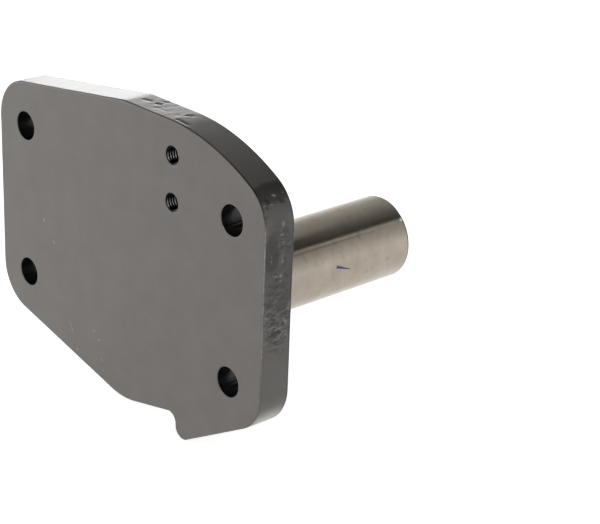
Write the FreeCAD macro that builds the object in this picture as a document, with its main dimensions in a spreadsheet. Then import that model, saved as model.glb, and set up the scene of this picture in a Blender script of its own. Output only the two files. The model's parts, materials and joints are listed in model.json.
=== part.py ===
import FreeCAD, Part
import Sketcher
import os
from math import acos, asin, atan2, degrees, hypot, radians

# Flanged bearing pin: a flame-cut steel plate with a round steel pin welded square to its back.
# X runs across the plate, Z up it, and Y from its smooth seating face towards the pin's free end.
# The origin is the middle of the four bolt holes, on the seating face. Sizes are in millimetres
# and degrees.
SIZES = [
    ("plate_thickness", 15, "plate, seating face to back face"),
    ("bolt_pitch_across", 140, "bolt holes, centre to centre across the plate"),
    ("bolt_pitch_up", 70, "bolt holes, centre to centre up the plate"),
    ("bolt_hole_diameter", 13, "clearance hole for a 12 mm bolt"),
    ("corner_radius", 20, "plate corners, concentric with the bolt holes"),
    ("crown_radius", 100, "large arc of the top edge"),
    ("crown_centre_across", 30, "centre of that arc, right of the bolt pattern's middle"),
    ("shoulder_across", 1, "where the top edge turns down to the left"),
    ("keel_radius", 37.5, "round of the lower edge, concentric with the pin"),
    ("heel_centre_across", 41.5, "centre of the heel's rounded tip"),
    ("heel_tip_radius", 5, "tip of the heel"),
    ("heel_root_radius", 4, "inner round between the lower edge and the heel"),
    ("heel_slope", 30, "rise of the heel's lower edge, in degrees"),
    ("rim_break", 0.8, "rounding of the plate's cut edges"),
    ("tap_across", 33, "tapped holes, right of the bolt pattern's middle"),
    ("tap_up", 31, "lower tapped hole, above the bolt pattern's middle"),
    ("tap_pitch", 20, "tapped holes, centre to centre"),
    ("tap_drill_diameter", 6.8, "core of an M8 thread"),
    ("tap_mouth_diameter", 8.2, "countersink at each mouth of the thread"),
    ("pin_diameter", 40, "ground pin"),
    ("pin_reach", 142, "pin, plate's back face to free end"),
    ("pin_rise", 2, "pin's axis, above the lower bolt holes"),
    ("pin_end_chamfer", 1.5, "chamfer of the free end"),
    ("weld_prep", 6, "how far the bevel of the pin's root goes in, under the weld"),
    ("weld_leg", 7, "fillet weld round the pin's root, along plate and pin"),
    ("weld_crown", 0.7, "how far the weld's face stands proud of a flat one"),
]

doc = FreeCAD.newDocument("bearing_pin")
sheet = doc.addObject("Spreadsheet::Sheet", "sizes")
for row, (alias, value, note) in enumerate(SIZES, 1):
    sheet.set(f"A{row}", alias)
    sheet.set(f"B{row}", str(value))
    sheet.setAlias(f"B{row}", alias)
    sheet.set(f"C{row}", note)
doc.recompute()

size = {alias: float(value) for alias, value, note in SIZES}
SKETCH_ORIGIN = (-1, 1)
ACROSS_AXIS = -1
UP_AXIS = -2
START, END, CENTRE = range(1, 4)


def new_body(label):
    body = doc.addObject("PartDesign::Body", label)
    body.Label = label
    return body


def new_sketch(body, name, role):
    """An empty sketch on one of the body's own origin planes."""
    sketch = body.newObject("Sketcher::SketchObject", name)
    plane = next(item for item in body.Origin.OriginFeatures if item.Role == role)
    sketch.AttachmentSupport = (plane, [""])
    sketch.MapMode = "FlatFace"
    return sketch


def add_line(sketch, start, end):
    return sketch.addGeometry(Part.LineSegment(FreeCAD.Vector(*start, 0), FreeCAD.Vector(*end, 0)))


def add_circle(sketch, centre, radius):
    circle = Part.Circle(FreeCAD.Vector(*centre, 0), FreeCAD.Vector(0, 0, 1), radius)
    return sketch.addGeometry(circle)


def add_arc(sketch, centre, radius, first_angle, last_angle):
    circle = Part.Circle(FreeCAD.Vector(*centre, 0), FreeCAD.Vector(0, 0, 1), radius)
    return sketch.addGeometry(Part.ArcOfCircle(circle, radians(first_angle), radians(last_angle)))


def constrain(sketch, kind, *arguments):
    return sketch.addConstraint(Sketcher.Constraint(kind, *arguments))


def drive(sketch, name, expression, kind, *arguments):
    """A dimension of the sketch that follows the sheet."""
    index = constrain(sketch, kind, *arguments)
    sketch.renameConstraint(index, name)
    sketch.setExpression(f"Constraints.{name}", expression)


def add_feature(body, kind, name, profile, **expressions):
    """A pad, hole or revolution of a sketch, with its sizes tied to the sheet."""
    doc.recompute()
    feature = body.newObject(f"PartDesign::{kind}", name)
    feature.Profile = profile
    for key, expression in expressions.items():
        feature.setExpression(key, expression)
    return feature


def add_edge_feature(body, kind, name, base, wanted, key, expression):
    """A fillet or chamfer on the edges of the base that `wanted` picks."""
    doc.recompute()
    names = [f"Edge{index}" for index, edge in enumerate(base.Shape.Edges, 1) if wanted(edge)]
    feature = body.newObject(f"PartDesign::{kind}", name)
    feature.Base = (base, names)
    feature.setExpression(key, expression)
    return feature


# Flange plate: its outline is cut by flame or laser from thick plate, and all its holes run
# straight through.
flange_plate = new_body("flange_plate")
outline = new_sketch(flange_plate, "plate_outline", "XZ_Plane")

half_across = size["bolt_pitch_across"] / 2
half_up = size["bolt_pitch_up"] / 2
corner = size["corner_radius"]
crown = size["crown_radius"]
crown_across = size["crown_centre_across"]
keel = size["keel_radius"]
rise = size["pin_rise"]
drop = half_up - rise
tip = size["heel_tip_radius"]
root = size["heel_root_radius"]
tip_across = size["heel_centre_across"]

# Starting places for the sketch's points. The constraints below then settle each of them.
crown_end = degrees(acos((half_across - crown_across) / (crown - corner)))
crown_drop = ((crown - corner) ** 2 - (half_across - crown_across) ** 2) ** 0.5
top = half_up - crown_drop + crown
lean = degrees(asin((keel - corner) / hypot(half_across, rise)) - atan2(rise, half_across))
slope = size["heel_slope"]
brow = degrees(atan2(top - half_up - corner, half_across + size["shoulder_across"]))
tip_up = -half_up - corner

right_side = add_line(outline, (half_across + corner, -half_up), (half_across + corner, half_up))
right_top_corner = add_arc(outline, (half_across, half_up), corner, 0, crown_end)
crown_arc = add_arc(outline, (crown_across, top - crown), crown, crown_end, 90)
top_edge = add_line(outline, (crown_across, top), (size["shoulder_across"], top))
brow_edge = add_line(outline, (size["shoulder_across"], top), (-half_across, half_up + corner))
left_top_corner = add_arc(outline, (-half_across, half_up), corner, 90 + brow, 180)
left_side = add_line(outline, (-half_across - corner, half_up), (-half_across - corner, -half_up))
left_low_corner = add_arc(outline, (-half_across, -half_up), corner, 180, 270 - lean)
left_underside = add_line(outline, (-half_across, -half_up - corner), (0, -drop - keel))
keel_arc = add_arc(outline, (0, -drop), keel, 270 - lean, 270 + lean)
right_underside = add_line(outline, (0, -drop - keel), (tip_across - tip - root, tip_up))
heel_root = add_arc(outline, (tip_across - tip - root, tip_up - root), root, 0, 90 + lean)
heel_tip = add_arc(outline, (tip_across, tip_up - root), tip, 180, 270 + slope)
heel_edge = add_line(outline, (tip_across, tip_up - root - tip), (half_across, -half_up - corner))
right_low_corner = add_arc(outline, (half_across, -half_up), corner, 270 + slope, 360)

# Smooth joints, in order round the plate. The heel's root is hollow, so it runs the other way.
for first, first_end, second, second_end in (
    (right_side, END, right_top_corner, START),
    (right_top_corner, END, crown_arc, START),
    (crown_arc, END, top_edge, START),
    (brow_edge, END, left_top_corner, START),
    (left_top_corner, END, left_side, START),
    (left_side, END, left_low_corner, START),
    (left_low_corner, END, left_underside, START),
    (left_underside, END, keel_arc, START),
    (keel_arc, END, right_underside, START),
    (right_underside, END, heel_root, END),
    (heel_root, START, heel_tip, START),
    (heel_tip, END, heel_edge, START),
    (heel_edge, END, right_low_corner, START),
    (right_low_corner, END, right_side, START),
):
    constrain(outline, "Tangent", first, first_end, second, second_end)
constrain(outline, "Coincident", top_edge, END, brow_edge, START)
constrain(outline, "Horizontal", top_edge)

# The four corners are concentric with the bolt holes, and alike.
constrain(outline, "Symmetric", left_top_corner, CENTRE, right_top_corner, CENTRE, UP_AXIS)
constrain(outline, "Symmetric", left_top_corner, CENTRE, left_low_corner, CENTRE, ACROSS_AXIS)
constrain(outline, "Symmetric", left_low_corner, CENTRE, right_low_corner, CENTRE, UP_AXIS)
for other_corner in (right_top_corner, left_low_corner, right_low_corner):
    constrain(outline, "Equal", left_top_corner, other_corner)
drive(outline, "pitch_across", "sizes.bolt_pitch_across",
      "DistanceX", left_low_corner, CENTRE, right_low_corner, CENTRE, 2 * half_across)
drive(outline, "pitch_up", "sizes.bolt_pitch_up",
      "DistanceY", left_low_corner, CENTRE, left_top_corner, CENTRE, 2 * half_up)
drive(outline, "corner_radius", "sizes.corner_radius", "Radius", left_top_corner, corner)

# Top edge: flat in the middle, falling straight to the left and in a large arc to the right.
drive(outline, "crown_radius", "sizes.crown_radius", "Radius", crown_arc, crown)
drive(outline, "crown_across", "sizes.crown_centre_across",
      "DistanceX", *SKETCH_ORIGIN, crown_arc, CENTRE, crown_across)
drive(outline, "shoulder_across", "sizes.shoulder_across",
      "DistanceX", *SKETCH_ORIGIN, brow_edge, START, size["shoulder_across"])

# Lower edge: a keel round the pin, with straight undersides that aim at the corners' circles.
constrain(outline, "PointOnObject", keel_arc, CENTRE, UP_AXIS)
constrain(outline, "Tangent", right_underside, right_low_corner)
drive(outline, "keel_radius", "sizes.keel_radius", "Radius", keel_arc, keel)
drive(outline, "pin_rise", "sizes.pin_rise",
      "DistanceY", left_low_corner, CENTRE, keel_arc, CENTRE, rise)

# Heel: the rounded stop at the lower right.
drive(outline, "heel_tip_radius", "sizes.heel_tip_radius", "Radius", heel_tip, tip)
drive(outline, "heel_root_radius", "sizes.heel_root_radius", "Radius", heel_root, root)
drive(outline, "heel_across", "sizes.heel_centre_across",
      "DistanceX", *SKETCH_ORIGIN, heel_tip, CENTRE, tip_across)
drive(outline, "heel_slope", "sizes.heel_slope * 1 deg",
      "Angle", ACROSS_AXIS, START, heel_edge, START, radians(slope))

blank = add_feature(flange_plate, "Pad", "plate_blank", outline, Length="sizes.plate_thickness")
blank.Reversed = True


hair = 1e-6


def lies_across_the_plate(edge):
    return edge.BoundBox.YLength < hair


broken_rim = add_edge_feature(flange_plate, "Fillet", "broken_rim", blank, lies_across_the_plate,
                              "Radius", "sizes.rim_break")

# Bolt holes: four plain clearance holes at the corners of a rectangle.
bolt_sketch = new_sketch(flange_plate, "bolt_hole_places", "XZ_Plane")
bolt_radius = size["bolt_hole_diameter"] / 2
left_low, right_low, right_high, left_high = [
    add_circle(bolt_sketch, (across * half_across, up * half_up), bolt_radius)
    for across, up in ((-1, -1), (1, -1), (1, 1), (-1, 1))
]
constrain(bolt_sketch, "Symmetric", left_high, CENTRE, right_high, CENTRE, UP_AXIS)
constrain(bolt_sketch, "Symmetric", left_high, CENTRE, left_low, CENTRE, ACROSS_AXIS)
constrain(bolt_sketch, "Symmetric", left_low, CENTRE, right_low, CENTRE, UP_AXIS)
for other_hole in (right_low, right_high, left_high):
    constrain(bolt_sketch, "Equal", left_low, other_hole)
drive(bolt_sketch, "pitch_across", "sizes.bolt_pitch_across",
      "DistanceX", left_low, CENTRE, right_low, CENTRE, 2 * half_across)
drive(bolt_sketch, "pitch_up", "sizes.bolt_pitch_up",
      "DistanceY", left_low, CENTRE, left_high, CENTRE, 2 * half_up)
drive(bolt_sketch, "hole_diameter", "sizes.bolt_hole_diameter",
      "Diameter", left_low, 2 * bolt_radius)
bolt_holes = add_feature(flange_plate, "Hole", "bolt_holes", bolt_sketch,
                         Diameter="sizes.bolt_hole_diameter")
bolt_holes.DepthType = "ThroughAll"

# Tapped holes: two M8 threads one above the other, drilled through and countersunk at both mouths.
tap_sketch = new_sketch(flange_plate, "tapped_hole_places", "XZ_Plane")
tap_radius = size["tap_drill_diameter"] / 2
low_tap, high_tap = [
    add_circle(tap_sketch, (size["tap_across"], size["tap_up"] + step * size["tap_pitch"]), tap_radius)
    for step in (0, 1)
]
constrain(tap_sketch, "Vertical", low_tap, CENTRE, high_tap, CENTRE)
constrain(tap_sketch, "Equal", low_tap, high_tap)
drive(tap_sketch, "tap_across", "sizes.tap_across",
      "DistanceX", *SKETCH_ORIGIN, low_tap, CENTRE, size["tap_across"])
drive(tap_sketch, "tap_up", "sizes.tap_up",
      "DistanceY", *SKETCH_ORIGIN, low_tap, CENTRE, size["tap_up"])
drive(tap_sketch, "tap_pitch", "sizes.tap_pitch",
      "DistanceY", low_tap, CENTRE, high_tap, CENTRE, size["tap_pitch"])
drive(tap_sketch, "drill_diameter", "sizes.tap_drill_diameter",
      "Diameter", low_tap, 2 * tap_radius)
tapped_holes = add_feature(flange_plate, "Hole", "tapped_holes", tap_sketch,
                           Diameter="sizes.tap_drill_diameter")
tapped_holes.DepthType = "ThroughAll"


def is_tap_mouth(edge):
    centre_gap = abs(edge.BoundBox.Center.x - size["tap_across"])
    return lies_across_the_plate(edge) and centre_gap < hair and edge.BoundBox.XLength < 3 * tap_radius


tap_mouths = add_edge_feature(flange_plate, "Chamfer", "tap_mouths", tapped_holes, is_tap_mouth,
                              "Size", "(sizes.tap_mouth_diameter - sizes.tap_drill_diameter) / 2")

# Bearing pin: a plain turned and ground bar with a chamfered free end. Its flat root stands on
# the plate's back face, and is bevelled for the weld as far as the weld goes up the pin.
bearing_pin = new_body("bearing_pin")
pin_radius = size["pin_diameter"] / 2
pin_reach = size["pin_reach"]
pin_chamfer = size["pin_end_chamfer"]
weld_prep = size["weld_prep"]
weld_leg = size["weld_leg"]
pin_profile = new_sketch(bearing_pin, "pin_profile", "XY_Plane")
pin_corners = [
    (0, 0),
    (pin_radius - weld_prep, 0),
    (pin_radius, weld_leg),
    (pin_radius, pin_reach - pin_chamfer),
    (pin_radius - pin_chamfer, pin_reach),
    (0, pin_reach),
]
pin_root, root_bevel, pin_wall, chamfer_edge, free_end, pin_axis = [
    add_line(pin_profile, start, end)
    for start, end in zip(pin_corners, pin_corners[1:] + pin_corners[:1])
]
pin_lines = (pin_root, root_bevel, pin_wall, chamfer_edge, free_end, pin_axis)
for first, second in zip(pin_lines, pin_lines[1:] + pin_lines[:1]):
    constrain(pin_profile, "Coincident", first, END, second, START)
constrain(pin_profile, "Coincident", pin_root, START, *SKETCH_ORIGIN)
constrain(pin_profile, "Horizontal", pin_root)
constrain(pin_profile, "Vertical", pin_wall)
constrain(pin_profile, "Horizontal", free_end)
constrain(pin_profile, "Vertical", pin_axis)
drive(pin_profile, "pin_radius", "sizes.pin_diameter / 2",
      "DistanceX", pin_root, START, pin_wall, START, pin_radius)
drive(pin_profile, "bevel_in", "sizes.weld_prep",
      "DistanceX", root_bevel, START, root_bevel, END, weld_prep)
drive(pin_profile, "bevel_along", "sizes.weld_leg",
      "DistanceY", root_bevel, START, root_bevel, END, weld_leg)
drive(pin_profile, "pin_reach", "sizes.pin_reach",
      "DistanceY", pin_root, START, free_end, END, pin_reach)
drive(pin_profile, "chamfer_in", "sizes.pin_end_chamfer",
      "DistanceX", chamfer_edge, END, chamfer_edge, START, pin_chamfer)
drive(pin_profile, "chamfer_along", "sizes.pin_end_chamfer",
      "DistanceY", chamfer_edge, START, chamfer_edge, END, pin_chamfer)
pin_bar = add_feature(bearing_pin, "Revolution", "pin_bar", pin_profile)
pin_bar.ReferenceAxis = (pin_profile, ["V_Axis"])

# Weld bead: one weld all round the pin's root. It fills the bevel, and stands out as a fillet
# with a slightly crowned face.
weld_bead = new_body("weld_bead")
weld_crown = size["weld_crown"]
face_radius = (weld_leg ** 2 / 2 + weld_crown ** 2) / (2 * weld_crown)
face_half_turn = degrees(asin(weld_leg / 2 ** 0.5 / face_radius))
face_depth = (face_radius - weld_crown) / 2 ** 0.5
face_centre = (pin_radius + weld_leg / 2 - face_depth, weld_leg / 2 - face_depth)
weld_profile = new_sketch(weld_bead, "weld_profile", "XY_Plane")
plate_leg = add_line(weld_profile, (pin_radius - weld_prep, 0), (pin_radius + weld_leg, 0))
weld_face = add_arc(weld_profile, face_centre, face_radius, 45 - face_half_turn, 45 + face_half_turn)
bevel_leg = add_line(weld_profile, (pin_radius, weld_leg), (pin_radius - weld_prep, 0))
weld_lines = (plate_leg, weld_face, bevel_leg)
for first, second in zip(weld_lines, weld_lines[1:] + weld_lines[:1]):
    constrain(weld_profile, "Coincident", first, END, second, START)
constrain(weld_profile, "PointOnObject", plate_leg, START, ACROSS_AXIS)
constrain(weld_profile, "Horizontal", plate_leg)
drive(weld_profile, "pin_radius", "sizes.pin_diameter / 2",
      "DistanceX", *SKETCH_ORIGIN, bevel_leg, START, pin_radius)
drive(weld_profile, "bevel_in", "sizes.weld_prep",
      "DistanceX", bevel_leg, END, bevel_leg, START, weld_prep)
drive(weld_profile, "plate_leg", "sizes.weld_leg",
      "DistanceX", bevel_leg, START, plate_leg, END, weld_leg)
drive(weld_profile, "pin_leg", "sizes.weld_leg",
      "DistanceY", bevel_leg, END, bevel_leg, START, weld_leg)
drive(weld_profile, "face_radius",
      "(sizes.weld_leg ^ 2 / 2 + sizes.weld_crown ^ 2) / (2 * sizes.weld_crown)",
      "Radius", weld_face, face_radius)
weld_run = add_feature(weld_bead, "Revolution", "weld_run", weld_profile)
weld_run.ReferenceAxis = (weld_profile, ["V_Axis"])

# The pin and its weld stand on the plate's back face, on the pin's axis.
for body in (bearing_pin, weld_bead):
    body.setExpression(".Placement.Base.y", "sizes.plate_thickness")
    body.setExpression(".Placement.Base.z", "sizes.pin_rise - sizes.bolt_pitch_up / 2")

doc.recompute()

failed = [item.Name for item in doc.Objects if {"Invalid", "Error"} & set(item.State)]
if failed:
    raise RuntimeError(f"not built: {failed}")
sub_parts = (flange_plate, bearing_pin, weld_bead)
for body in sub_parts:
    if body.Shape.isNull() or not body.Shape.isValid() or len(body.Shape.Solids) != 1:
        raise RuntimeError(f"{body.Label} isn't one sound solid")
if not tapped_holes.Shape.Volume < bolt_holes.Shape.Volume < broken_rim.Shape.Volume:
    raise RuntimeError("a row of holes cuts nothing")

os.makedirs("parts", exist_ok=True)
for body in sub_parts:
    body.Shape.exportStep(f"parts/{body.Label}.step")
    box = body.Shape.optimalBoundingBox()
    print(f"{body.Label}: {body.Shape.Volume:.0f} mm3, X {box.XMin:.2f} to {box.XMax:.2f}, "
          f"Y {box.YMin:.2f} to {box.YMax:.2f}, Z {box.ZMin:.2f} to {box.ZMax:.2f}")
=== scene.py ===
import json
from math import acos, asin, atan2, cos, hypot, pi, radians, sin

import bpy
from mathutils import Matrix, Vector


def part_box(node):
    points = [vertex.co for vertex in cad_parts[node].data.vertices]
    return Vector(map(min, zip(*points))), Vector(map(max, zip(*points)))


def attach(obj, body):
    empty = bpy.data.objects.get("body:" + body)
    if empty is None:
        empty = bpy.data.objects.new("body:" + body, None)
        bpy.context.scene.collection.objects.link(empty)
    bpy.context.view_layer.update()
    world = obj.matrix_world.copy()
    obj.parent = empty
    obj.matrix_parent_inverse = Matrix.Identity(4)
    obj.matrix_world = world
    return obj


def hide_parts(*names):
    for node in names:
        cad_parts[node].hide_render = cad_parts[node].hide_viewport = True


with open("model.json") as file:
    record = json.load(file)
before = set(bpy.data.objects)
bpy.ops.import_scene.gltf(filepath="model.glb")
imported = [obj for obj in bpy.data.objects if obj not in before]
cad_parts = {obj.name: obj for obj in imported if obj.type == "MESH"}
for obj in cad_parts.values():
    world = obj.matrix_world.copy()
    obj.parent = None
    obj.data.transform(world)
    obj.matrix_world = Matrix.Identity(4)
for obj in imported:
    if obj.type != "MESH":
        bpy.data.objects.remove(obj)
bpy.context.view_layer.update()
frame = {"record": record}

# Flange plate: thick hot-rolled steel plate, cut to its outline by flame and then painted. Its
# outline is drawn here as the cutting torch ran, straight by straight and arc by arc, from the
# same sizes as the model's own.
MM = 0.001
mounts = {mount["name"]: mount for mount in frame["record"]["mounts"]}
bolt_pattern = mounts["mounting_bolts"]["dims"]
bolt_across = bolt_pattern["spacing_x_mm"] / 2
bolt_up = bolt_pattern["spacing_y_mm"] / 2
pin_height = mounts["pin_journal"]["pos_m"][2] / MM
plate_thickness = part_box("flange_plate")[1].y / MM
corner_radius = 20
crown_radius = 100
crown_centre_across = 30
shoulder_across = 1
keel_radius = 37.5
heel_centre_across = 41.5
heel_tip_radius = 5
heel_root_radius = 4
heel_slope = radians(30)
rim_break = 0.8
cut_step = 0.5


def start_mesh(name, x, y, z):
    """A new mesh that holds a single selected point, in edit mode. Sizes are in millimetres."""
    bpy.ops.object.select_all(action="DESELECT")
    bpy.ops.mesh.primitive_plane_add(size=MM, location=(x * MM, y * MM, z * MM))
    piece = bpy.context.object
    piece.name = piece.data.name = name
    bpy.ops.object.mode_set(mode="EDIT")
    bpy.ops.mesh.select_mode(type="VERT")
    bpy.ops.mesh.select_all(action="SELECT")
    bpy.ops.mesh.merge(type="CENTER")
    return piece


def draw_run(x, y, z):
    """Draws an edge from the selected point, by this much along each axis."""
    bpy.ops.mesh.extrude_region_move(TRANSFORM_OT_translate={"value": (x * MM, y * MM, z * MM)})


def select_where(piece, kind, wanted):
    """Selects the points, edges or faces that `wanted` picks, and leaves the piece in edit mode."""
    bpy.ops.object.mode_set(mode="EDIT")
    bpy.ops.mesh.select_mode(type=kind)
    bpy.ops.mesh.select_all(action="DESELECT")
    bpy.ops.object.mode_set(mode="OBJECT")
    mesh = piece.data
    items = {"VERT": mesh.vertices, "EDGE": mesh.edges, "FACE": mesh.polygons}[kind]
    for item in items:
        item.select = wanted(item)
    bpy.ops.object.mode_set(mode="EDIT")


def ends_of(piece, edge):
    """Where the two ends of an edge lie, in metres."""
    first, second = edge.vertices
    return piece.data.vertices[first].co, piece.data.vertices[second].co


# Points on the plate are across and up it, in millimetres from the middle of the bolt pattern.
top_right = Vector((bolt_across, bolt_up))
top_left = Vector((-bolt_across, bolt_up))
low_left = Vector((-bolt_across, -bolt_up))
low_right = Vector((bolt_across, -bolt_up))
keel_centre = Vector((0, pin_height))


def on_circle(centre, radius, angle):
    """The point of a circle at this angle, across and up the plate."""
    return centre + radius * Vector((cos(angle), sin(angle)))


crown_end = acos((bolt_across - crown_centre_across) / (crown_radius - corner_radius))
crown_centre = on_circle(top_right, corner_radius - crown_radius, crown_end)
crown_top = crown_centre.y + crown_radius
shoulder = Vector((shoulder_across, crown_top))
to_shoulder = shoulder - top_left
brow = atan2(to_shoulder.y, to_shoulder.x) + acos(corner_radius / to_shoulder.length)
shoulder_radius = 32
shoulder_axis = Vector((0, 1)) + on_circle(Vector((0, 0)), 1, brow)
shoulder_centre = shoulder - shoulder_radius * shoulder_axis / (1 + sin(brow))
to_corner = low_right - keel_centre
lean = asin((keel_radius - corner_radius) / to_corner.length) - atan2(-to_corner.y, to_corner.x)
down, along = Vector((sin(lean), -cos(lean))), Vector((cos(lean), sin(lean)))
heel_fall = (low_right.x - heel_centre_across) * sin(heel_slope) + corner_radius - heel_tip_radius
heel_tip = Vector((heel_centre_across, low_right.y - heel_fall / cos(heel_slope)))
below = (heel_tip - keel_centre).dot(down) - keel_radius - heel_root_radius
back_to_root = ((heel_root_radius + heel_tip_radius) ** 2 - below ** 2) ** 0.5
heel_root = (keel_centre + (keel_radius + heel_root_radius) * down
             + ((heel_tip - keel_centre).dot(along) - back_to_root) * along)
heel_joint = atan2(heel_tip.y - heel_root.y, heel_tip.x - heel_root.x)

# Each arc is its centre and the angle that it turns by, with a hollow one turning back.
outline = [
    on_circle(top_right, corner_radius, 0),
    (top_right, crown_end),
    (crown_centre, pi / 2 - crown_end),
    on_circle(shoulder_centre, shoulder_radius, pi / 2),
    (shoulder_centre, brow - pi / 2),
    on_circle(top_left, corner_radius, brow),
    (top_left, pi - brow),
    on_circle(low_left, corner_radius, pi),
    (low_left, pi / 2 - lean),
    on_circle(keel_centre, keel_radius, 3 * pi / 2 - lean),
    (keel_centre, 2 * lean),
    on_circle(heel_root, heel_root_radius, pi / 2 + lean),
    (heel_root, heel_joint - pi / 2 - lean),
    (heel_tip, pi / 2 + heel_slope - heel_joint),
    on_circle(low_right, corner_radius, heel_slope - pi / 2),
    (low_right, pi / 2 - heel_slope),
]
pen = on_circle(low_right, corner_radius, 0)
plate = start_mesh("painted_plate", pen.x, 0, pen.y)
for step in outline:
    if isinstance(step, Vector):
        draw_run(step.x - pen.x, 0, step.y - pen.y)
        pen = step
    else:
        centre, turn = step
        arm = pen - centre
        bpy.ops.mesh.spin(steps=round(abs(turn) * arm.length / cut_step), angle=turn,
                          center=(centre.x * MM, 0, centre.y * MM), axis=(0, 1, 0))
        pen = on_circle(centre, arm.length, atan2(arm.y, arm.x) + turn)
bpy.ops.mesh.select_all(action="SELECT")
bpy.ops.mesh.remove_doubles(threshold=cut_step / 20 * MM)
bpy.ops.object.mode_set(mode="OBJECT")
bpy.ops.object.transform_apply(location=True)


def edge_length(piece, edge):
    first, second = ends_of(piece, edge)
    return (first - second).length / MM


def halve_longer_than(piece, length, wanted=lambda edge: True):
    """Halves the wanted edges, again and again, until their parts are about this long."""
    longest = 1.4 * length
    while True:
        select_where(piece, "EDGE",
                     lambda edge: wanted(edge) and edge_length(piece, edge) > longest)
        if not piece.data.total_edge_sel:
            bpy.ops.object.mode_set(mode="OBJECT")
            return
        bpy.ops.mesh.subdivide(number_cuts=1)


def runs_through(piece, edge):
    """Whether an edge runs straight through the plate, from face to face."""
    first, second = ends_of(piece, edge)
    return abs(first.y - second.y) > 0.99 * (first - second).length


halve_longer_than(plate, cut_step)
bpy.ops.object.mode_set(mode="EDIT")
bpy.ops.mesh.select_all(action="SELECT")
draw_run(0, plate_thickness, 0)
for level in (0, plate_thickness):
    select_where(plate, "VERT", lambda point: abs(point.co.y / MM - level) < rim_break)
    bpy.ops.mesh.edge_face_add()
select_where(plate, "EDGE", lambda edge: not runs_through(plate, edge))
bpy.ops.mesh.bevel(offset=rim_break * MM, segments=4, profile=0.5, affect="EDGES",
                   clamp_overlap=False)
select_where(plate, "FACE", lambda face: len(face.vertices) > 4)
bpy.ops.mesh.inset(thickness=rim_break / 2 * MM)
bpy.ops.mesh.delete(type="ONLY_FACE")
halve_longer_than(plate, rim_break, lambda edge: runs_through(plate, edge))

# The torch left slow waves all along the cut, and drag lines through the thickness where it ran
# hot. Each hot place is where it lies, how far it reaches and how deep its lines are. The waves
# and lines only go inwards.
wave_length = 11
wave_reach = 30
wave_depth = 0.14
line_pitch = 1.6
line_reach = 9
line_depth = 0.45
line_tilt = radians(12)
hot_places = [(15, 65, 17, 0.3), (90, 31, 9, 0.8), (90, 3, 22, 1.2), (-40, 58, 35, 0.2)]
for name in ("waves", "lines"):
    plate.vertex_groups.new(name=name)
for point in plate.data.vertices:
    x, y, z = point.co / MM
    rim = min(1, min(y, plate_thickness - y) / rim_break)
    if rim > 0.01:
        heat = max(depth * max(0, 1 - (hypot(x - at_x, z - at_z) / reach) ** 2)
                   for at_x, at_z, reach, depth in hot_places)
        plate.vertex_groups["waves"].add([point.index], rim, "REPLACE")
        plate.vertex_groups["lines"].add([point.index], rim * heat, "REPLACE")
for name, depth, pitch, through, tilt in (("waves", wave_depth, wave_length, wave_reach, 0),
                                          ("lines", line_depth, line_pitch, line_reach, line_tilt)):
    bpy.ops.object.empty_add(rotation=(tilt, 0, 0))
    ruler = bpy.context.object
    ruler.scale = Vector((pitch, through, pitch)) * MM
    cloud = bpy.data.textures.new(name, "CLOUDS")
    cloud.noise_scale = 1
    press = plate.modifiers.new(name, "DISPLACE")
    press.texture = cloud
    press.texture_coords = "OBJECT"
    press.texture_coords_object = ruler
    press.vertex_group = name
    press.mid_level = 0
    press.strength = -depth * MM
    bpy.context.view_layer.update()
    bpy.ops.object.select_all(action="DESELECT")
    bpy.context.view_layer.objects.active = plate
    bpy.ops.object.modifier_apply(modifier=press.name)
    bpy.data.objects.remove(ruler)

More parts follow.
